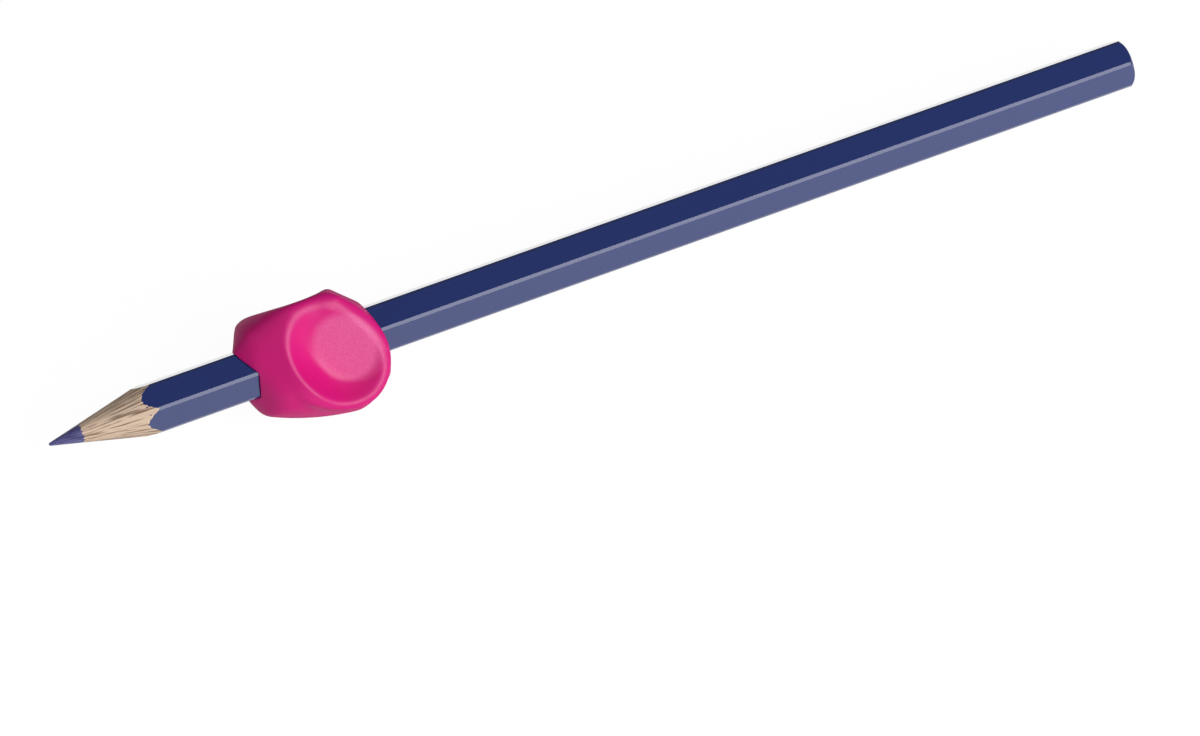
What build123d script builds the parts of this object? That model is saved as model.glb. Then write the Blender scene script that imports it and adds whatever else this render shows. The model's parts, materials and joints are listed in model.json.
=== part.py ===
from build123d import *
from math import atan, cos, radians, sin, tan
import os

# Moulded finger grip on a hexagonal coloured pencil, lying as it comes to rest on a table.
# Millimetres. +Z is up, X runs along the pencil from its point to its butt, -Y is the front.
# The origin is on the table, under the middle of the part.

# Driving dimensions of the pencil
pencil_length = 175.0
across_flats = 7.0
edge_radius = 0.5
lacquer_thickness = 0.15
lead_diameter = 2.8
point_half_angle = 13.5
point_radius = 0.25
butt_land = 2.7
butt_rounding = 1.1
edge_lean = 44.5

# Driving dimensions of the grip. Stations are measured from its front end towards the butt,
# radii from the pencil's axis, and angles about that axis from straight up towards the front.
grip_from_point = 30.6
bore_clearance = 0.05

# Barrel: a flared body that stands a little off the pencil's axis, towards the middle finger
barrel_offset = 0.3
mouth_rim = 4.8
nose_station = 1.8
nose_radius = 7.75
nose_rounding = 0.9
belly_station = 9.0
belly_radius = 9.9
belly_rounding = 4.5
tail_station = 18.0
tail_radius = 10.7
ridge_rounding = 1.0

# Tail: a cone that stands off the pencil's axis, with a leaning end, so that the grip is longer
# on the thumb's and index finger's side
tail_end = 19.1
tail_end_lean = 5.0
tail_rim = 5.75
tail_slope = 41.5
tail_offset = 1.5
tail_angle = 132.0

# Thumb dish: a flat-floored oval bowl on a lobe with a raised rim, turned from the pencil's axis
thumb_angle = 51.0
rim_station = 11.5
rim_height = 6.9
rim_half_length = 8.1
rim_half_width = 6.2
rim_turn = 62.5
lobe_share = 1.09
lobe_root_share = 0.62
floor_station = 13.1
floor_height = 6.0
floor_lean = 4.3
floor_share = 0.63
flank_station = 1.25
flank_slope = 36.0
flank_rounding = 1.2

# Index-finger hollow: a ball-shaped scoop with a flat-topped fin behind it
index_angle = 180.0
index_station = 7.2
index_ball = 9.0
index_floor = 5.4
fin_height = 8.5
fin_station = 17.0

# Middle-finger rest: a shallow saddle along the back
middle_angle = -54.0
saddle_ends = 8.1
saddle_dip = 7.0
saddle_middle = 8.8
saddle_half = 8.0

# Worked-out sizes
hexagon_turn = 60.0
corner_centre = (across_flats / 2 - edge_radius) / cos(radians(hexagon_turn / 2))
corner_radius = corner_centre + edge_radius
bore_radius = corner_radius + bore_clearance
lead_radius = lead_diameter / 2
point_slope = tan(radians(point_half_angle))
point_apex = point_radius * (1 - 1 / sin(radians(point_half_angle)))
cutter_reach = 2 * belly_radius

# The part lies on the fin's rear edge and on one long edge near the butt.
lowest_edge = (180.0 - edge_lean) % hexagon_turn
edge_lift = min(lowest_edge, hexagon_turn - lowest_edge)
edge_drop = corner_centre * cos(radians(edge_lift)) + edge_radius
fin_from_point = grip_from_point + fin_station
tilt = atan((fin_height - edge_drop) / (pencil_length - butt_rounding - fin_from_point))

along = Vector(cos(tilt), 0, -sin(tilt))
upward = Vector(sin(tilt), 0, cos(tilt))
point_height = fin_height * cos(tilt) + fin_from_point * sin(tilt)
point = Vector(-pencil_length * cos(tilt) / 2, 0, point_height)
shaft = Plane(origin=point, x_dir=upward, z_dir=along)
shaft_axis = Axis(point, along)


def outward(angle):
    """Direction square to the pencil, at an angle from straight up towards the front."""
    return shaft.x_dir * cos(radians(angle)) + shaft.y_dir * sin(radians(angle))


def lengthwise(station, angle):
    """Plane through the pencil's axis: x runs along the axis, y outward at the angle."""
    start = point + along * station
    return Plane(origin=start, x_dir=along, z_dir=along.cross(outward(angle)))


def dish_oval(station, height, lean, share):
    """Oval over the pencil, like the dish's rim times the share, that leans up towards the butt."""
    base = lengthwise(grip_from_point + station, thumb_angle)
    middle = base.from_local_coords((0, height, 0))
    turned = base.rotated((0, 0, lean))
    with BuildSketch(Plane(origin=middle, x_dir=turned.x_dir, z_dir=turned.y_dir)) as oval:
        Ellipse(share * rim_half_length, share * rim_half_width, rotation=-rim_turn)
    return oval.sketch


def turned_outline(end, land, rounded):
    """Outline that the sharpener leaves, with a rounded or a chamfered butt at the given end."""
    wide = corner_radius + 1
    with BuildSketch(lengthwise(0, 0)) as outline:
        with BuildLine():
            cone = Line((point_apex, 0), (point_apex + wide / point_slope, wide))
            side = Line(cone @ 1, (end - butt_rounding, wide))
            step = Line(side @ 1, (end - butt_rounding, corner_radius))
            if rounded:
                shoulder = TangentArc(step @ 1, (end, land), tangent=(1, 0))
            else:
                shoulder = Line(step @ 1, (end, land))
            butt = Line(shoulder @ 1, (end, 0))
            Line(butt @ 1, cone @ 0)
        make_face()
    return outline.sketch


# Wood casing before it is split into its two slats
with BuildPart() as casing:
    with BuildSketch(shaft) as casing_section:
        RegularPolygon(
            across_flats / 2 - lacquer_thickness, 6, major_radius=False, rotation=edge_lean
        )
        fillet(casing_section.vertices(), edge_radius - lacquer_thickness)
    extrude(amount=pencil_length)
    add(turned_outline(pencil_length - lacquer_thickness, butt_land - lacquer_thickness, False))
    revolve(axis=shaft_axis, mode=Mode.INTERSECT)

# Coloured lead: a rod with a conical point and a rounded tip
with BuildPart() as lead_core:
    with BuildSketch(lengthwise(0, 0)):
        with BuildLine():
            tangent_x = point_radius * (1 - sin(radians(point_half_angle)))
            tangent_r = point_radius * cos(radians(point_half_angle))
            tip = TangentArc((0, 0), (tangent_x, tangent_r), tangent=(0, 1))
            taper = Line(tip @ 1, (point_apex + lead_radius / point_slope, lead_radius))
            rod = Line(taper @ 1, (pencil_length - lacquer_thickness, lead_radius))
            rear = Line(rod @ 1, (pencil_length - lacquer_thickness, 0))
            Line(rear @ 1, tip @ 0)
        make_face()
    revolve(axis=shaft_axis)
lead_core.part.label = "lead_core"

# Two wood slats, glued on a plane through two opposite edges, each with a half-round groove
glue_normal = outward(edge_lean + hexagon_turn - 90.0)
glue_plane = Plane(origin=point, x_dir=along, z_dir=glue_normal)

with BuildPart() as upper_slat:
    add(casing.part)
    with BuildSketch(shaft):
        Circle(lead_radius)
    extrude(amount=pencil_length, mode=Mode.SUBTRACT)
    split(bisect_by=glue_plane, keep=Keep.TOP)
upper_slat.part.label = "upper_slat"

with BuildPart() as lower_slat:
    add(casing.part)
    with BuildSketch(shaft):
        Circle(lead_radius)
    extrude(amount=pencil_length, mode=Mode.SUBTRACT)
    split(bisect_by=glue_plane, keep=Keep.BOTTOM)
lower_slat.part.label = "lower_slat"

# Lacquer film over the casing, cut back in scallops by the sharpener and closed over the butt
with BuildPart() as lacquer_coat:
    with BuildSketch(shaft) as coat_section:
        RegularPolygon(across_flats / 2, 6, major_radius=False, rotation=edge_lean)
        fillet(coat_section.vertices(), edge_radius)
    extrude(amount=pencil_length)
    add(turned_outline(pencil_length, butt_land, True))
    revolve(axis=shaft_axis, mode=Mode.INTERSECT)
    add(casing.part, mode=Mode.SUBTRACT)
lacquer_coat.part.label = "lacquer_coat"

# Soft moulded grip: a barrel with a dish, a hollow and a saddle for the three fingers
with BuildPart() as finger_grip:
    barrel_axis = Axis(point + outward(middle_angle) * barrel_offset, along)
    with BuildSketch(lengthwise(grip_from_point, middle_angle)) as barrel_outline:
        with BuildLine():
            mouth = Line((0, barrel_offset), (0, barrel_offset + mouth_rim))
            nose = Line(mouth @ 1, (nose_station, barrel_offset + nose_radius))
            waist = Line(nose @ 1, (belly_station, barrel_offset + belly_radius))
            belly = Line(waist @ 1, (tail_station, barrel_offset + tail_radius))
            back = Line(belly @ 1, (2 * tail_end, barrel_offset + tail_radius))
            rear = Line(back @ 1, (2 * tail_end, barrel_offset))
            Line(rear @ 1, mouth @ 0)
        make_face()
        nose_corner = barrel_outline.vertices().sort_by_distance(nose @ 1)[0]
        fillet(nose_corner, nose_rounding)
        belly_corner = barrel_outline.vertices().sort_by_distance(waist @ 1)[0]
        fillet(belly_corner, belly_rounding)
    revolve(axis=barrel_axis)

    tail_axis = Axis(point + outward(tail_angle) * tail_offset, along)
    with BuildSketch(lengthwise(grip_from_point + tail_end, tail_angle)):
        with BuildLine():
            cone_tip = tail_rim / tan(radians(tail_slope))
            cone_start = (tail_rim - cutter_reach) / tan(radians(tail_slope))
            Polyline(
                (cone_tip, tail_offset),
                (cone_start, tail_offset + cutter_reach),
                (-2 * tail_end, tail_offset + cutter_reach),
                (-2 * tail_end, tail_offset),
                close=True,
            )
        make_face()
    revolve(axis=tail_axis, mode=Mode.INTERSECT)
    fillet(finger_grip.edges().filter_by(GeomType.BSPLINE), ridge_rounding)
    end_lean = radians(tail_end_lean)
    end_normal = along * cos(end_lean) - outward(tail_angle) * sin(end_lean)
    end_point = point + along * (grip_from_point + tail_end)
    split(bisect_by=Plane(origin=end_point, z_dir=end_normal), keep=Keep.BOTTOM)

    flank_base = lengthwise(grip_from_point, thumb_angle)
    flank_point = flank_base.from_local_coords((flank_station, bore_radius, 0))
    slope = radians(flank_slope)
    flank_normal = flank_base.y_dir * cos(slope) - flank_base.x_dir * sin(slope)
    flank = Plane(origin=flank_point, z_dir=flank_normal)
    split(bisect_by=flank, keep=Keep.BOTTOM)
    flank_face = finger_grip.faces().sort_by_distance(flank_point)[0]
    flank_edges = flank_face.edges().filter_by(GeomType.LINE, reverse=True)
    fillet(flank_edges, flank_rounding)

    with BuildPart() as lobe:
        lobe_root = dish_oval(rim_station, 0, 0, lobe_root_share)
        lobe_top = dish_oval(rim_station, rim_height, 0, lobe_share)
        loft([lobe_root, lobe_top], ruled=True)
        split(bisect_by=flank, keep=Keep.BOTTOM)
    add(lobe.part)

    with BuildSketch(lengthwise(grip_from_point, middle_angle)):
        with BuildLine():
            saddle = ThreePointArc(
                (saddle_middle - saddle_half, saddle_ends),
                (saddle_middle, saddle_dip),
                (saddle_middle + saddle_half, saddle_ends),
            )
            Polyline(
                saddle @ 1,
                (saddle_middle + saddle_half, cutter_reach),
                (saddle_middle - saddle_half, cutter_reach),
                saddle @ 0,
            )
        make_face()
    extrude(amount=cutter_reach, both=True, mode=Mode.SUBTRACT)
    fin_top = point + outward(index_angle) * fin_height
    split(bisect_by=Plane(origin=fin_top, x_dir=along, z_dir=outward(index_angle)), keep=Keep.BOTTOM)

    index_centre = point + along * (grip_from_point + index_station)
    with Locations(index_centre + outward(index_angle) * (index_floor + index_ball)):
        Sphere(index_ball, mode=Mode.SUBTRACT)

    floor = dish_oval(floor_station, floor_height, floor_lean, floor_share)
    rim = dish_oval(rim_station, rim_height, 0, 1)
    loft([floor, rim], ruled=True, mode=Mode.SUBTRACT)
    extrude(rim, amount=cutter_reach, mode=Mode.SUBTRACT)

    with BuildSketch(shaft.offset(grip_from_point)):
        Circle(bore_radius)
    extrude(amount=2 * tail_end, mode=Mode.SUBTRACT)
finger_grip.part.label = "finger_grip"

os.makedirs("parts", exist_ok=True)
for piece in (lead_core, upper_slat, lower_slat, lacquer_coat, finger_grip):
    export_step(piece.part, f"parts/{piece.part.label}.step")
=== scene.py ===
"""Looks of a coloured pencil that carries a soft moulded finger grip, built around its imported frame."""

import json
from math import atan2, cos, hypot, pi, radians, sin, tan

import bpy
import numpy as np
from bpy.props import FloatProperty, FloatVectorProperty, IntProperty, PointerProperty
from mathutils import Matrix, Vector


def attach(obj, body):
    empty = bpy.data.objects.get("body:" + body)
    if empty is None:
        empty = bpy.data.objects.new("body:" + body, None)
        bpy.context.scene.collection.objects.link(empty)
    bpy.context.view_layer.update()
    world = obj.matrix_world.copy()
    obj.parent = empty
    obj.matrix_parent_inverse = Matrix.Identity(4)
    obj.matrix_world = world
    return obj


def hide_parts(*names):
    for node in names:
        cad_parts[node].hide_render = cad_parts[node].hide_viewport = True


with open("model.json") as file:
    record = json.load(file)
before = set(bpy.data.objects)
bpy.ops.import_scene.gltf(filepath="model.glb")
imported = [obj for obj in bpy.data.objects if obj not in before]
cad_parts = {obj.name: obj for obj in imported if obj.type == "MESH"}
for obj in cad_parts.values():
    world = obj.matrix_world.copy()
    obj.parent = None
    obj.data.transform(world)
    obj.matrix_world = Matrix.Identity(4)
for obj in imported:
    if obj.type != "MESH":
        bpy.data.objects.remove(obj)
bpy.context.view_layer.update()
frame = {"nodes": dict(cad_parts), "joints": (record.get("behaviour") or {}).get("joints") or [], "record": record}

bl_info = {
    "name": "Pencil With Finger Grip",
    "version": (1, 0, 0),
    "blender": (4, 5, 0),
    "location": "View3D > Sidebar > Pencil Grip",
    "description": "Moulded finger grip, pencil finishes and studio stage for a packed pencil",
    "category": "Object",
}

MM = 0.001
MOUNTS = {mount["name"]: mount for mount in frame["record"]["mounts"]}
POINT = np.array(MOUNTS["point"]["pos_m"])
ALONG = np.array(frame["joints"][0]["axis"])
FRONT = np.array((0.0, -1.0, 0.0))
UP = np.cross(FRONT, ALONG)
TILT = atan2(-ALONG[2], ALONG[0])

# Angles round the pencil, in degrees from its top towards the viewer's side
THUMB_ANGLE, MIDDLE_ANGLE, INDEX_ANGLE, TAIL_ANGLE = 51.0, -54.0, 180.0, 132.0
SHAFT_EDGE_ANGLE = 44.5

# Pencil, in millimetres
LEAD_RADIUS = 1.4
SHAFT_HALF_FLATS, SHAFT_EDGE_RADIUS = 3.5, 0.5
CONE_SLOPE, CONE_APEX = tan(radians(13.5)), -0.821

# Dish: its rise over the thumb's line in millimetres, and where floor and pad are, in shares of the oval
DISH_RAISED = 0.25
FLOOR_MIDDLE, PAD_MIDDLE = (0.08, -0.25), (0.116, -0.308)

# Stage, in metres
KEY_LIGHT = {"direction": (0.30, -0.80, 0.50), "distance": 0.9, "size": 0.75}
FILL_LIGHT = {"direction": (-0.8, -0.1, 0.9), "distance": 1.2, "size": 0.9}
CAMERA_PLACE = (-0.26926144, -0.53152405, 0.69522552)
CAMERA_LOOK = (0.2887757, 0.57107012, -0.76843185)
FLOOR_HALF = 12.0
FLOOR_WHITE = 1.12


# Sizes and colours that a user may change


class GripSettings(bpy.types.PropertyGroup):
    """Sizes in millimetres and colours of the moulded grip."""

    from_point: FloatProperty(
        name="From point", description="Grip's front end from the pencil's tip, mm", default=30.6)
    bore: FloatProperty(name="Bore radius", description="Radius of the unstretched bore, mm", default=4.014)
    hug: FloatProperty(
        name="Hug", description="How far the shaft stretches the bore to its own hexagon", default=0.85,
        min=0.0, max=0.95, subtype="FACTOR")
    edge: FloatProperty(name="Mouth edge", description="Rounding of the bore's two edges, mm", default=0.2)
    rim_station: FloatProperty(
        name="Dish station", description="Middle of the dish's rim from the grip's front, mm", default=11.53)
    rim_length: FloatProperty(name="Dish length", description="Half the rim's length, mm", default=8.11)
    rim_width: FloatProperty(name="Dish width", description="Half the rim's width, mm", default=6.23)
    rim_turn: FloatProperty(
        name="Dish turn", description="Turn of the oval out of the pencil's direction, degrees", default=62.5)
    floor: FloatProperty(
        name="Dish floor", description="Floor's height over the pencil's axis, mm", default=6.05)
    rise: FloatProperty(name="Dish rise", description="Rise of the dish's floor towards the butt", default=0.31)
    tip: FloatProperty(name="Dish tip", description="Fall of the dish's floor towards the table", default=0.2)
    pad: FloatProperty(name="Pad", description="Flat pad as a share of the rim's oval", default=0.63)
    lip: FloatProperty(name="Lip rounding", description="Softness of the dish's lip, mm", default=0.8)
    stipple: FloatProperty(name="Stipple", description="Height of the pad's stipple, mm", default=0.006)
    around: IntProperty(name="Around", description="Grid lines around the grip", default=440, min=64)
    lengthways: IntProperty(name="Lengthways", description="Grid lines along the grip", default=200, min=32)
    colour: FloatVectorProperty(
        name="Rubber", description="Colour of the smooth rubber", subtype="COLOR", default=(0.82, 0.008, 0.24))
    # The pad's paler colour is a painted sheen of the light its stipple scatters, not a paler rubber.
    pad_sheen_colour: FloatVectorProperty(
        name="Pad", description="Colour of the stippled pad", subtype="COLOR", default=(1.0, 0.16, 0.44))


class PencilSettings(bpy.types.PropertyGroup):
    """Colours of the pencil's finishes."""

    lacquer: FloatVectorProperty(
        name="Lacquer", description="Colour of the lacquer", subtype="COLOR", default=(0.014, 0.034, 0.185))
    wood_light: FloatVectorProperty(
        name="Light wood", description="Colour between the grain", subtype="COLOR", default=(0.90, 0.68, 0.51))
    wood_dark: FloatVectorProperty(
        name="Dark wood", description="Colour of the grain", subtype="COLOR", default=(0.29, 0.19, 0.12))
    lead_light: FloatVectorProperty(
        name="Light lead", description="Colour of the lead's streaks", subtype="COLOR",
        default=(0.16, 0.15, 0.40))
    lead_dark: FloatVectorProperty(
        name="Dark lead", description="Colour of the lead", subtype="COLOR", default=(0.05, 0.05, 0.18))
    tooth: FloatProperty(
        name="Torn edge", description="Depth of the torn edges of lacquer and lead, mm", default=0.07)
    softened: FloatProperty(
        name="Softened edge", description="Radius from which the lacquer softens the long edges, mm",
        default=3.87)


class StageSettings(bpy.types.PropertyGroup):
    """Light levels and floor of the studio."""

    key_power: FloatProperty(
        name="Key light", description="Power of the large front light", default=7.0, unit="POWER")
    fill_power: FloatProperty(
        name="Fill light", description="Power of the weak light from the left", default=0.4, unit="POWER")
    ambient: FloatProperty(name="Ambient", description="Strength of the plain world", default=0.16)
    floor: FloatVectorProperty(
        name="Floor", description="Colour of the floor", subtype="COLOR", default=(0.6, 0.6, 0.6))
    shadow: FloatProperty(
        name="Shadow", description="Share of the floor that takes light and shadow", default=0.14,
        min=0.0, max=1.0, subtype="FACTOR")
    shine: FloatProperty(
        name="Floor in reflections", description="Brightness of the floor in glossy surfaces", default=1.4)
    lens: FloatProperty(name="Lens", description="Focal length in millimetres", default=187.98)


# Surface of the grip


def smooth_max(p, q, k):
    """Larger of two fields, rounded over k: their maximum plus a quarter of k times the squared overlap."""
    overlap = np.clip(k - np.abs(p - q), 0, None) / k
    return np.maximum(p, q) + overlap * overlap * k / 4


def smooth_min(p, q, k):
    """Smaller of two fields, rounded over k."""
    return -smooth_max(-p, -q, k)


def spread(a, b, angle):
    """Part of a section's (a, b) place that points outward at an angle in degrees."""
    return a * cos(radians(angle)) + b * sin(radians(angle))


def off_axis(a, b, distance, angle):
    """Distance from an axis that stands off the pencil's by a distance at an angle."""
    return np.hypot(a - distance * cos(radians(angle)), b - distance * sin(radians(angle)))


def oval_place(grip, w, a, b):
    """Place over the dish from the middle of its rim, in shares of the oval's half length and half width."""
    x, z = w - grip.rim_station, spread(a, b, THUMB_ANGLE + 90) + DISH_RAISED
    turn = radians(grip.rim_turn)
    u = (x * cos(turn) + z * sin(turn)) / grip.rim_length
    return u, (z * cos(turn) - x * sin(turn)) / grip.rim_width


def dish_ease(grip, u, v):
    """How far a place is from the dish's floor, 0, to the rim, 1: the circle through it among those whose
    centres and radii run evenly from the floor's circle to the rim's, found as the root of a quadratic."""
    middle_u, middle_v = FLOOR_MIDDLE
    du, dv = u - middle_u, v - middle_v
    grow = 1 - grip.pad
    square = middle_u**2 + middle_v**2 - grow**2
    linear = 2 * (middle_u * du + middle_v * dv) - 2 * grip.pad * grow
    rest = du**2 + dv**2 - grip.pad**2
    root = np.sqrt(np.clip(linear**2 - 4 * square * rest, 0, None))
    return 2 * rest / (-linear + root)


def barrel(w, a, b):
    """Field of the barrel, negative inside: a nose cone and a belly arc round two axes, cut by a tail cone
    round a third and by a leaning end. The nose runs out longer at the top, the belly swells at the top,
    and the ridge between belly and tail is softer on the thumb's side."""
    angle = np.arctan2(b, a)
    top_side = np.clip((np.cos(angle + radians(10.0)) - 0.5) / 0.5, 0, 1) ** 2
    thumb_side = np.clip((np.cos(angle - radians(70.0)) - 0.17) / 0.6, 0, 1)
    thumb_side = thumb_side * thumb_side * (3 - 2 * thumb_side)

    nose_radius, nose_slope, nose_longer = 5.6, 1.95, 0.38
    ahead = (np.hypot(w, 0.3) - w) / 2
    nose_w = w + nose_longer * top_side * ahead
    nose = (off_axis(a, b, 0.5, -20.0) - nose_radius - nose_slope * nose_w) / hypot(1, nose_slope)

    belly_station, belly_depth, belly_radius = 17.65, 29.0, 39.55
    swell_angle, swell_width = radians(5.0), radians(28.0)
    swell_height, swell_station, swell_length = 1.3, 5.5, 3.5
    swell_off = ((angle - swell_angle) / swell_width) ** 2 + ((w - swell_station) / swell_length) ** 2
    belly = np.hypot(w - belly_station, off_axis(a, b, 0.2, MIDDLE_ANGLE) + belly_depth) - belly_radius
    belly = belly - swell_height * np.exp(-swell_off)

    tail_station, tail_radius, tail_slope = 19.2, 5.75, radians(41.5)
    tail_out = off_axis(a, b, 1.48, 137.0) - tail_radius
    tail = (w - tail_station) * sin(tail_slope) + tail_out * cos(tail_slope)
    end_station, end_lean = 19.1, radians(5.0)
    end = (w - end_station) * cos(end_lean) - spread(a, b, TAIL_ANGLE) * sin(end_lean)

    field = smooth_max(nose, belly - 0.05 * thumb_side, 0.6)
    field = smooth_max(field, tail - 0.28 * thumb_side, 0.4 + 2.4 * thumb_side)
    return smooth_max(field, end, 0.3)


def grip_body(grip, w, a, b):
    """Field of the grip without bore and dish: the barrel joined to an oval lobe that widens outwards,
    cut by the flank, the shoulder above it, the slanted mouth, the flat heel behind it and the front, then
    by the middle finger's saddle, three outermost flats and the index finger's round hollow. Each cut is
    the larger of the two fields, rounded over its own length."""
    out = spread(a, b, THUMB_ANGLE)
    u, v = oval_place(grip, w + 0.2, a, b)
    lobe_radius, lobe_wider, lobe_flare, lobe_height, lobe_top = 7.2, 0.75, 0.5, 6.6, 6.5
    lobe = (np.hypot(u + 0.027, v + 0.019) - 1) * lobe_radius
    lobe = (lobe - lobe_wider - lobe_flare * (out - lobe_height)) / hypot(1, lobe_flare)
    field = smooth_min(barrel(w, a, b), smooth_max(lobe, out - lobe_top, 1.0), 2.6)

    flank_height, flank_station, flank_slope = 4.014, 0.1, radians(36.0)
    flank = (out - flank_height) * cos(flank_slope) - (w - flank_station) * sin(flank_slope)
    shoulder_rise, shoulder_run, shoulder_height = 0.893, 0.45, 5.35
    shoulder = shoulder_rise * spread(a, b, 28.0) - shoulder_run * w - shoulder_height
    mouth_slope, mouth_station = 0.61, 1.87
    mouth = (mouth_slope * spread(a, b, 75.0) - mouth_station - w) / hypot(1, mouth_slope)
    heel_slope, heel_height = 1.8, 4.45
    heel = (spread(a, b, -90.0) - heel_height - heel_slope * w) / hypot(1, heel_slope)
    front = -1.6 - w

    saddle_radius, saddle_station, saddle_middle = 29.64, 8.8, 36.74
    saddle = saddle_radius - np.hypot(w - saddle_station, spread(a, b, MIDDLE_ANGLE) - saddle_middle)
    below, across = spread(a, b, INDEX_ANGLE), spread(a, b, INDEX_ANGLE + 90)
    fin = below - 8.5
    top = spread(a, b, 0.0) - 10.75
    side = spread(a, b, 90.0) - 10.58
    hollow_radius, hollow_station, hollow_middle = 9.0, 7.2, 14.4
    hollow = np.sqrt((w - hollow_station) ** 2 + (below - hollow_middle) ** 2 + across**2)
    cuts = (
        (flank, 1.5), (shoulder, 1.2), (mouth, 0.8), (heel, 0.5), (front, 0.3),
        (saddle, 0.6), (fin, 0.4), (top, 0.5), (side, 0.4), (hollow_radius - hollow, 1.0),
    )
    for cut, rounding in cuts:
        field = smooth_max(field, cut, rounding)
    return field


def crossing(field, near, far, steps=72, halvings=26):
    """Share of the way from near to far where a field first turns positive: even steps, then halvings."""
    low = np.zeros(near[0].shape)
    high = np.ones(near[0].shape)
    found = np.zeros(near[0].shape, bool)
    for step in range(1, steps + 1):
        share = step / steps
        outside = field(*(n + (f - n) * share for n, f in zip(near, far))) > 0
        fresh = outside & ~found
        low[fresh] = share - 1 / steps
        high[fresh] = share
        found |= outside
    if not found.all():
        raise RuntimeError("The grip's surface has a line that never leaves the body")
    for _ in range(halvings):
        share = (low + high) / 2
        outside = field(*(n + (f - n) * share for n, f in zip(near, far))) > 0
        high = np.where(outside, share, high)
        low = np.where(outside, low, share)
    return high


def rim_heights(grip, angles):
    """Height of the body over the pencil's axis at angles round the dish's oval."""
    turn, thumb = radians(grip.rim_turn), radians(THUMB_ANGLE)
    u, v = grip.rim_length * np.cos(angles), grip.rim_width * np.sin(angles)
    w = grip.rim_station + u * cos(turn) - v * sin(turn)
    z = u * sin(turn) + v * cos(turn) - DISH_RAISED

    def raised(height):
        return w, height * cos(thumb) - z * sin(thumb), height * sin(thumb) + z * cos(thumb)

    low, high = 3.5, 11.0
    return low + (high - low) * crossing(lambda *p: grip_body(grip, *p), raised(low), raised(high))


def grip_field(grip, angles, heights, w, a, b):
    """Field of the grip without its bore: the body, lowered in the dish to a wall that runs from the dish's
    floor to the body's own height at the rim, with a rounded lip between the two."""
    floor_station, least_depth, foot_rounding, wall_share = 13.1, 0.15, 0.25, 0.8
    u, v = oval_place(grip, w, a, b)
    rim = np.interp(np.arctan2(v, u), angles, heights)
    floor = grip.floor + grip.rise * (w - floor_station) - grip.tip * spread(a, b, THUMB_ANGLE + 90)
    climb = smooth_max(dish_ease(grip, u, v), 0.0, foot_rounding)
    wall = floor + np.maximum(rim - floor, least_depth) * climb
    dish = (spread(a, b, THUMB_ANGLE) - wall) * wall_share
    return smooth_max(grip_body(grip, w, a, b), dish, grip.lip)


def bore_radius(grip, theta):
    """Radius of the bore round the axis: the shaft's rounded hexagon, with a little of the round bore."""
    flat = np.abs((theta - radians(SHAFT_EDGE_ANGLE)) % (pi / 3) - pi / 6)
    corner = (SHAFT_HALF_FLATS - SHAFT_EDGE_RADIUS) / cos(pi / 6)
    off = corner * np.sin(pi / 6 - flat)
    rounded = corner * np.cos(pi / 6 - flat) + np.sqrt(np.clip(SHAFT_EDGE_RADIUS**2 - off**2, 0, None))
    on_flat = flat < atan2(corner / 2, SHAFT_HALF_FLATS)
    hexagon = np.where(on_flat, SHAFT_HALF_FLATS / np.cos(flat), rounded)
    return hexagon + (1 - grip.hug) * (grip.bore - hexagon)


def grip_surface(grip):
    """Closed grid of the grip: rows of lines that fan out near the axis from the front edge over the outside
    to the rear edge, then rows over the rounded rear edge, through the bore and over the front edge.
    Columns go round the axis, closer together at the dish. Returns stations and section places, mm."""
    thumb, crowding = radians(THUMB_ANGLE), 0.3
    turn = np.arange(grip.around) * 2 * pi / grip.around
    theta = turn - crowding * np.sin(turn) + thumb
    ca, cb = np.cos(theta), np.sin(theta)
    angles = np.linspace(-pi, pi, 721)
    heights = rim_heights(grip, angles)

    def field(w, a, b):
        return grip_field(grip, angles, heights, w, a, b)

    hole = bore_radius(grip, theta)
    edge = hole + grip.edge
    middle_station, reach = 9.0, 14.0
    middle = np.full(grip.around, middle_station)
    inner = (middle, edge * ca, edge * cb)
    front = middle_station - reach * crossing(field, inner, (middle - reach, *inner[1:]))
    rear = middle_station + reach * crossing(field, inner, (middle + reach, *inner[1:]))

    u = np.linspace(0, 1, grip.lengthways)[:, None]
    start, stop, set_back, reach = 5.5, 15.0, 3.0, 20.0
    fan_start = np.arctan2(edge, front - start)
    fan = fan_start + (np.arctan2(edge, rear - stop) - fan_start) * u
    back = -set_back * np.sin(pi * u) ** 2
    hub = (start + (stop - start) * u, back * cos(thumb), back * sin(thumb))
    near = tuple(np.broadcast_to(line, fan.shape) for line in hub)
    far = (
        near[0] + reach * np.cos(fan),
        near[1] + reach * np.sin(fan) * ca,
        near[2] + reach * np.sin(fan) * cb,
    )
    share = crossing(field, near, far)
    w, a, b = (n + (f - n) * share for n, f in zip(near, far))
    w[0], a[0], b[0] = front, edge * ca, edge * cb
    w[-1], a[-1], b[-1] = rear, edge * ca, edge * cb

    edge_rows, bore_rows = 4, 8
    bend = np.linspace(0, pi / 2, edge_rows + 1)[1:, None]
    inside = np.linspace(0, 1, bore_rows + 2)[1:-1, None]
    inner_w = np.vstack((
        rear - grip.edge * (1 - np.cos(bend)),
        rear - grip.edge + (front - rear + 2 * grip.edge) * inside,
        front + grip.edge * (1 - np.cos(bend[::-1])),
    ))
    inner_r = np.vstack((
        edge - grip.edge * np.sin(bend),
        np.broadcast_to(hole, (bore_rows, grip.around)),
        edge - grip.edge * np.sin(bend[::-1]),
    ))
    return np.vstack((w, inner_w)), np.vstack((a, inner_r * ca)), np.vstack((b, inner_r * cb))


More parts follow.
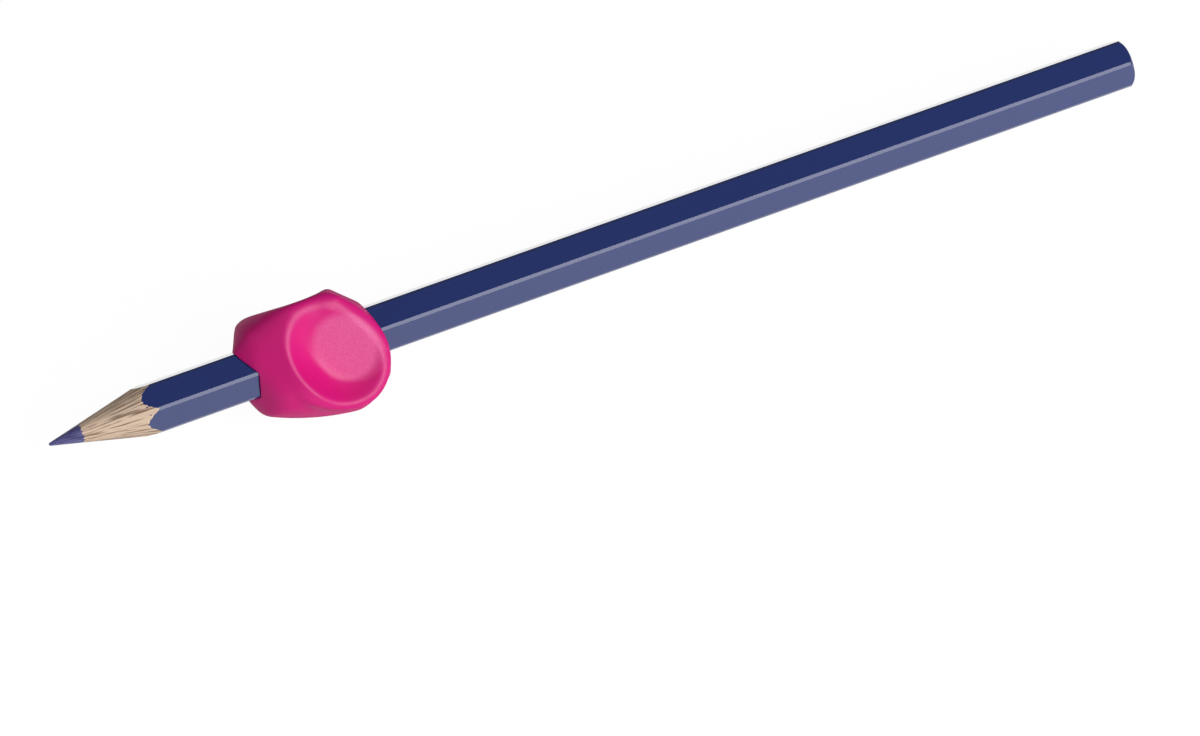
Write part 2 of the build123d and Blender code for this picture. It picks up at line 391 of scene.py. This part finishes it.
def pad_share(grip, w, a, b):
    """Share of the stipple at each place, 1 on the pad and fading to 0 round it, on the dish's side only. The same
    share sets where the rubber's painted sheen goes.
    """
    reach, fade, least_height, bore_clear = 0.74, 0.16, 4.6, 0.3
    u, v = oval_place(grip, w, a, b)
    middle_u, middle_v = PAD_MIDDLE
    open_side = (spread(a, b, THUMB_ANGLE) > least_height) & (np.hypot(a, b) > grip.bore + bore_clear)
    return np.clip((reach - np.hypot(u - middle_u, v - middle_v)) / fade, 0, 1) * open_side


def stipple_bumps(grip, w, a, b):
    """Heights of the stipple between -1 and 1: the product of two wavy sines across the dish."""
    u, v = oval_place(grip, w, a, b)
    x, z = u * grip.rim_length, v * grip.rim_width
    return np.sin(13.1 * x + 2.0 * np.sin(7.7 * z)) * np.sin(14.3 * z + 2.0 * np.sin(8.9 * x))


def closed_grid(name, points):
    """Mesh of a grid that closes in both directions, with its quads facing outwards."""
    rows, columns = points.shape[:2]
    row, column = np.meshgrid(np.arange(rows), np.arange(columns), indexing="ij")
    next_row, next_column = (row + 1) % rows, (column + 1) % columns
    quads = np.stack(
        (
            row * columns + column,
            row * columns + next_column,
            next_row * columns + next_column,
            next_row * columns + column,
        ),
        axis=-1,
    ).reshape(-1, 4)
    mesh = bpy.data.meshes.new(name)
    mesh.from_pydata(points.reshape(-1, 3).tolist(), [], quads.tolist())
    mesh.polygons.foreach_set("use_smooth", np.ones(len(quads), bool))
    mesh.update()
    return mesh


def place(grip, w, a, b):
    """Points in the frame, in metres, of stations and section places on the grip in millimetres."""
    start = POINT + ALONG * grip.from_point * MM
    return start + MM * (w[..., None] * ALONG + a[..., None] * UP + b[..., None] * FRONT)


# Materials


def new_material(name):
    """Empty node material with its shader and output."""
    material = bpy.data.materials.new(name)
    material.use_nodes = True
    tree = material.node_tree
    tree.nodes.clear()
    output = tree.nodes.new("ShaderNodeOutputMaterial")
    shader = tree.nodes.new("ShaderNodeBsdfPrincipled")
    tree.links.new(shader.outputs[0], output.inputs["Surface"])
    return material, tree, shader


def add_node(tree, kind, links=None, values=None, **settings):
    """Node of a kind with its settings, socket values and links from other sockets."""
    node = tree.nodes.new(kind)
    for key, value in settings.items():
        setattr(node, key, value)
    for key, value in (values or {}).items():
        node.inputs[key].default_value = value
    for key, socket in (links or {}).items():
        tree.links.new(socket, node.inputs[key])
    return node


def blend_colours(tree, factor, first, second):
    """Colour mixed from two colours or colour sockets by a factor socket."""
    node = add_node(tree, "ShaderNodeMix", data_type="RGBA")
    tree.links.new(factor, node.inputs["Factor"])
    for socket, colour in zip((node.inputs[6], node.inputs[7]), (first, second)):
        if isinstance(colour, bpy.types.NodeSocket):
            tree.links.new(colour, socket)
        else:
            socket.default_value = (*colour, 1.0)
    return node.outputs[2]


def ramp(tree, socket, low, high):
    """Value that runs from 0 at low to 1 at high, smoothly, and is held beyond."""
    node = add_node(
        tree, "ShaderNodeMapRange", {"Value": socket}, {"From Min": low, "From Max": high},
        interpolation_type="SMOOTHSTEP")
    return node.outputs["Result"]


def maths(tree, operation, first, second):
    """Result of a maths node for two sockets or numbers."""
    node = add_node(tree, "ShaderNodeMath", operation=operation)
    for socket, value in zip(node.inputs, (first, second)):
        if isinstance(value, bpy.types.NodeSocket):
            tree.links.new(value, socket)
        else:
            socket.default_value = value
    return node.outputs[0]


def pencil_place(tree):
    """Millimetres along the pencil from its tip, and across it, from Object coordinates."""
    coordinates = add_node(tree, "ShaderNodeTexCoord")
    mapping = add_node(
        tree, "ShaderNodeMapping", {"Vector": coordinates.outputs["Object"]},
        {"Location": POINT.tolist(), "Rotation": (0, TILT, 0), "Scale": (MM, MM, MM)},
        vector_type="TEXTURE")
    return mapping.outputs["Vector"]


def stretched_noise(tree, vector, along, across, detail=4.0):
    """Noise whose grains are stretched along the pencil: cells to a millimetre along and across it."""
    scaled = add_node(
        tree, "ShaderNodeVectorMath", {0: vector}, {1: (along, across, across)}, operation="MULTIPLY")
    noise = add_node(
        tree, "ShaderNodeTexNoise", {"Vector": scaled.outputs[0]}, {"Scale": 1.0, "Detail": detail})
    return noise.outputs[0]


def bump(tree, height, strength, distance, normal=None):
    """Normal that a height socket gives, over another normal or the surface's own."""
    node = add_node(
        tree, "ShaderNodeBump", {"Height": height}, {"Strength": strength, "Distance": distance})
    if normal:
        tree.links.new(normal, node.inputs["Normal"])
    return node.outputs[0]


def section_place(tree, vector):
    """Socket along the pencil, and the place across it as a vector socket."""
    parts = add_node(tree, "ShaderNodeSeparateXYZ", {0: vector})
    across = add_node(tree, "ShaderNodeCombineXYZ", {"Y": parts.outputs["Y"], "Z": parts.outputs["Z"]})
    return parts.outputs["X"], across.outputs[0]


def axis_distance(tree, vector):
    """Distance along the pencil from its tip, and distance from its axis, in millimetres."""
    along, across = section_place(tree, vector)
    length = add_node(tree, "ShaderNodeVectorMath", {0: across}, operation="LENGTH")
    return along, length.outputs["Value"]


def cut_lines(tree, vector, along, around):
    """Noise in lines that run down the sharpened cone: cells to a millimetre along the pencil, and cells to
    the radius round it."""
    station, across = section_place(tree, vector)
    turned = add_node(tree, "ShaderNodeVectorMath", {0: across}, operation="NORMALIZE")
    turned = add_node(tree, "ShaderNodeSeparateXYZ", {0: turned.outputs[0]})
    line = add_node(
        tree, "ShaderNodeCombineXYZ",
        {"X": station, "Y": turned.outputs["Y"], "Z": turned.outputs["Z"]})
    return stretched_noise(tree, line.outputs[0], along, around, 3.0)


def torn_depth(tree, vector, depth, tooth, across, low, high):
    """Depth under a cut, less the teeth that the sharpener tears: noise across the pencil between low and
    high, times the tooth's length."""
    torn = ramp(tree, stretched_noise(tree, vector, 0.2, across, 3.0), low, high)
    return maths(tree, "SUBTRACT", depth, maths(tree, "MULTIPLY", torn, tooth))


def wood_colour(tree, vector, pencil):
    """Straight-grained wood: broad streaks of the grain and fine lines down the cone. Gives the colour and
    the lines."""
    fine_share = 0.85
    broad = stretched_noise(tree, vector, 0.05, 1.6)
    fine = cut_lines(tree, vector, 0.22, 12.0)
    tone = maths(
        tree, "ADD", maths(tree, "MULTIPLY", broad, 1 - fine_share), maths(tree, "MULTIPLY", fine, fine_share))
    return blend_colours(tree, ramp(tree, tone, 0.36, 0.52), pencil.wood_dark, pencil.wood_light), fine


def even_noise(tree, vector, scale, detail):
    """Noise with the same grain in every direction, its scale in cells to a metre."""
    node = add_node(tree, "ShaderNodeTexNoise", {"Vector": vector}, {"Scale": scale, "Detail": detail})
    return node.outputs[0]


def rubber_material(grip):
    """Satin moulded rubber with a fine moulded skin, less glossy at grazing angles, and a stippled pad painted
    paler and speckled: a painted sheen of the light its stipple scatters.
    """
    material, tree, shader = new_material("moulded_rubber")
    coordinates = add_node(tree, "ShaderNodeTexCoord").outputs["Object"]
    pad = add_node(tree, "ShaderNodeAttribute", attribute_name="stipple").outputs["Fac"]
    grain = even_noise(tree, coordinates, 6400.0, 1.0)
    cloud = even_noise(tree, coordinates, 160.0, 3.0)
    # The pad's paler, speckled colour is painted sheen: it stands in for the light that the stipple scatters.
    sheen_speckle = maths(tree, "ADD", maths(tree, "MULTIPLY", ramp(tree, grain, 0.3, 0.7), 0.4), 0.45)
    sheen_speckle = maths(tree, "MULTIPLY", sheen_speckle, pad)
    colour = blend_colours(tree, sheen_speckle, grip.colour, grip.pad_sheen_colour)
    tree.links.new(colour, shader.inputs["Base Color"])
    roughness = add_node(
        tree, "ShaderNodeMapRange", {"Value": cloud}, {"To Min": 0.4, "To Max": 0.48}).outputs["Result"]
    tree.links.new(roughness, shader.inputs["Roughness"])
    height = maths(tree, "MULTIPLY", grain, maths(tree, "ADD", maths(tree, "MULTIPLY", pad, 0.9), 0.1))
    tree.links.new(bump(tree, height, 0.4, 0.05 * MM), shader.inputs["Normal"])
    facing = add_node(tree, "ShaderNodeLayerWeight", values={"Blend": 0.5}).outputs["Facing"]
    level = maths(tree, "MULTIPLY", maths(tree, "POWER", maths(tree, "SUBTRACT", 1.0, facing), 2.0), 0.56)
    shader.inputs["Specular IOR Level"].default_value = 0.35
    tree.links.new(level, shader.inputs["Specular IOR Level"])
    return material


def lacquer_material(pencil):
    """Glossy lacquer with softened long edges and a torn, woody edge where the sharpener has cut it."""
    material, tree, shader = new_material("gloss_lacquer")
    vector = pencil_place(tree)
    along, radius = axis_distance(tree, vector)
    cone = maths(tree, "MULTIPLY", maths(tree, "SUBTRACT", along, CONE_APEX), CONE_SLOPE)
    depth = maths(tree, "SUBTRACT", cone, radius)
    coated = ramp(tree, torn_depth(tree, vector, depth, pencil.tooth, 1.9, 0.36, 0.64), 0.002, 0.008)
    wood = wood_colour(tree, vector, pencil)[0]
    tree.links.new(blend_colours(tree, coated, wood, pencil.lacquer), shader.inputs["Base Color"])
    tree.links.new(coated, shader.inputs["Coat Weight"])
    shader.inputs["Coat Roughness"].default_value = 0.06
    shader.inputs["Coat IOR"].default_value = 1.6
    shader.inputs["Roughness"].default_value = 0.7
    shader.inputs["Specular IOR Level"].default_value = 0.1
    corner = maths(tree, "MAXIMUM", maths(tree, "SUBTRACT", radius, pencil.softened), 0.0)
    drop = maths(tree, "MULTIPLY", maths(tree, "MULTIPLY", corner, corner), -10.0)
    ripple = stretched_noise(tree, vector, 0.10, 0.8)
    normal = bump(tree, ripple, 0.15, 0.03 * MM, bump(tree, drop, 1.0, MM))
    tree.links.new(normal, shader.inputs["Normal"])
    tree.links.new(normal, shader.inputs["Coat Normal"])
    return material


def wood_material(pencil):
    """Bare wood as the sharpener leaves it: straight grain and fine fibres."""
    material, tree, shader = new_material("sharpened_wood")
    colour, fine = wood_colour(tree, pencil_place(tree), pencil)
    tree.links.new(colour, shader.inputs["Base Color"])
    shader.inputs["Roughness"].default_value = 0.75
    tree.links.new(bump(tree, fine, 0.6, 0.08 * MM), shader.inputs["Normal"])
    return material


def lead_material(pencil):
    """Waxy coloured lead with streaks from the sharpener and a torn boundary with the wood."""
    material, tree, shader = new_material("waxy_lead")
    vector = pencil_place(tree)
    streak = cut_lines(tree, vector, 0.5, 5.0)
    colour = blend_colours(tree, ramp(tree, streak, 0.38, 0.64), pencil.lead_dark, pencil.lead_light)
    depth = maths(tree, "SUBTRACT", LEAD_RADIUS, axis_distance(tree, vector)[1])
    edge = torn_depth(tree, vector, depth, pencil.tooth, 2.6, 0.38, 0.62)
    wood = wood_colour(tree, vector, pencil)[0]
    colour = blend_colours(tree, ramp(tree, edge, -0.004, 0.004), wood, colour)
    tree.links.new(colour, shader.inputs["Base Color"])
    shader.inputs["Roughness"].default_value = 0.42
    tree.links.new(bump(tree, streak, 0.5, 0.06 * MM), shader.inputs["Normal"])
    return material


def floor_material(stage):
    """Plain pale floor: to the camera a share takes light and shadow and the rest shows as even white, and in
    glossy surfaces it shows as bright as its setting says."""
    material, tree, shader = new_material("pale_floor")
    shader.inputs["Base Color"].default_value = (*stage.floor, 1.0)
    shader.inputs["Roughness"].default_value = 0.9
    shader.inputs["Specular IOR Level"].default_value = 0.0
    path = add_node(tree, "ShaderNodeLightPath")
    glossy = path.outputs["Is Glossy Ray"]
    seen = maths(tree, "MULTIPLY", path.outputs["Is Camera Ray"], 1 - stage.shadow)
    brighter = maths(tree, "MULTIPLY", glossy, stage.shine - FLOOR_WHITE)
    strength = maths(tree, "ADD", brighter, FLOOR_WHITE)
    white = add_node(tree, "ShaderNodeEmission", {"Strength": strength})
    share = maths(tree, "MAXIMUM", seen, glossy)
    mix = add_node(tree, "ShaderNodeMixShader", {0: share, 1: shader.outputs[0], 2: white.outputs[0]})
    output = next(node for node in tree.nodes if node.type == "OUTPUT_MATERIAL")
    tree.links.new(mix.outputs[0], output.inputs["Surface"])
    return material


# Operators


class PENCILGRIP_OT_add_grip(bpy.types.Operator):
    """Build the moulded grip in place of its plain solid"""

    bl_idname = "pencilgrip.add_grip"
    bl_label = "Add Finger Grip"

    def execute(self, context):
        grip = context.scene.pencil_grip
        w, a, b = grip_surface(grip)
        pad = pad_share(grip, w, a, b)
        lift = pad * stipple_bumps(grip, w, a, b) * grip.stipple
        a = a + lift * cos(radians(THUMB_ANGLE))
        b = b + lift * sin(radians(THUMB_ANGLE))
        mesh = closed_grid("finger_grip_moulding", place(grip, w, a, b))
        # The stipple share goes to the material too, where it places the pad's painted sheen.
        attribute = mesh.attributes.new("stipple", "FLOAT", "POINT")
        attribute.data.foreach_set("value", pad.astype(np.float32).ravel())
        mesh.materials.append(rubber_material(grip))
        piece = bpy.data.objects.new("finger_grip_moulding", mesh)
        context.scene.collection.objects.link(piece)
        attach(piece, "grip")
        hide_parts("finger_grip")
        return {"FINISHED"}


class PENCILGRIP_OT_finish_pencil(bpy.types.Operator):
    """Give the pencil's solids their lacquer, wood and lead"""

    bl_idname = "pencilgrip.finish_pencil"
    bl_label = "Finish Pencil"

    def execute(self, context):
        pencil = context.scene.pencil_finish
        wood = wood_material(pencil)
        finishes = {
            "lacquer_coat": lacquer_material(pencil),
            "upper_slat": wood,
            "lower_slat": wood,
            "lead_core": lead_material(pencil),
        }
        for node, material in finishes.items():
            slots = frame["nodes"][node].data.materials
            slots.clear()
            slots.append(material)
        return {"FINISHED"}


class PENCILGRIP_OT_add_stage(bpy.types.Operator):
    """Set up the floor, the soft lights and the camera"""

    bl_idname = "pencilgrip.add_stage"
    bl_label = "Add Stage"

    def add_light(self, context, name, power, direction, distance, size):
        """Square soft light at a distance from the part, turned towards it."""
        light = bpy.data.lights.new(name, "AREA")
        light.size = size
        light.energy = power
        lamp = bpy.data.objects.new(name, light)
        lamp.location = Vector(direction).normalized() * distance
        lamp.rotation_euler = (-lamp.location).to_track_quat("-Z", "Y").to_euler()
        context.scene.collection.objects.link(lamp)

    def execute(self, context):
        stage = context.scene.pencil_stage
        half = FLOOR_HALF
        corners = [(-half, -half, 0), (half, -half, 0), (half, half, 0), (-half, half, 0)]
        mesh = bpy.data.meshes.new("studio_floor")
        mesh.from_pydata(corners, [], [(0, 1, 2, 3)])
        mesh.materials.append(floor_material(stage))
        floor = bpy.data.objects.new("studio_floor", mesh)
        context.scene.collection.objects.link(floor)

        self.add_light(context, "key_light", stage.key_power, **KEY_LIGHT)
        self.add_light(context, "fill_light", stage.fill_power, **FILL_LIGHT)
        world = bpy.data.worlds.new("studio_world")
        world.use_nodes = True
        background = world.node_tree.nodes["Background"]
        background.inputs["Color"].default_value = (1, 1, 1, 1)
        background.inputs["Strength"].default_value = stage.ambient
        context.scene.world = world

        camera = bpy.data.cameras.new("photo_camera")
        camera.sensor_width = 36.0
        camera.sensor_fit = "HORIZONTAL"
        camera.lens = stage.lens
        camera.clip_start = 0.01
        camera.clip_end = 100.0
        viewer = bpy.data.objects.new("photo_camera", camera)
        viewer.location = CAMERA_PLACE
        viewer.rotation_euler = Vector(CAMERA_LOOK).to_track_quat("-Z", "Y").to_euler()
        context.scene.collection.objects.link(viewer)
        context.scene.camera = viewer
        context.scene.view_settings.view_transform = "Standard"
        return {"FINISHED"}


class PENCILGRIP_PT_sidebar(bpy.types.Panel):
    """Steps and settings of the pencil with its grip"""

    bl_idname = "PENCILGRIP_PT_sidebar"
    bl_label = "Pencil Grip"
    bl_space_type = "VIEW_3D"
    bl_region_type = "UI"
    bl_category = "Pencil Grip"

    def draw(self, context):
        groups = (
            ("pencilgrip.add_grip", context.scene.pencil_grip),
            ("pencilgrip.finish_pencil", context.scene.pencil_finish),
            ("pencilgrip.add_stage", context.scene.pencil_stage),
        )
        for operator, settings in groups:
            box = self.layout.box()
            box.operator(operator)
            for key in settings.bl_rna.properties.keys():
                if key not in ("rna_type", "name"):
                    box.prop(settings, key)


CLASSES = (
    GripSettings, PencilSettings, StageSettings, PENCILGRIP_OT_add_grip,
    PENCILGRIP_OT_finish_pencil, PENCILGRIP_OT_add_stage, PENCILGRIP_PT_sidebar,
)


def register():
    """Add the classes and their settings to Blender."""
    for cls in CLASSES:
        bpy.utils.register_class(cls)
    bpy.types.Scene.pencil_grip = PointerProperty(type=GripSettings)
    bpy.types.Scene.pencil_finish = PointerProperty(type=PencilSettings)
    bpy.types.Scene.pencil_stage = PointerProperty(type=StageSettings)


def unregister():
    """Take the classes and their settings out of Blender."""
    del bpy.types.Scene.pencil_grip
    del bpy.types.Scene.pencil_finish
    del bpy.types.Scene.pencil_stage
    for cls in reversed(CLASSES):
        bpy.utils.unregister_class(cls)


def main():
    """Build every piece and the stage."""
    register()
    bpy.ops.pencilgrip.add_stage()
    bpy.ops.pencilgrip.finish_pencil()
    bpy.ops.pencilgrip.add_grip()


if __name__ == "__main__":
    main()
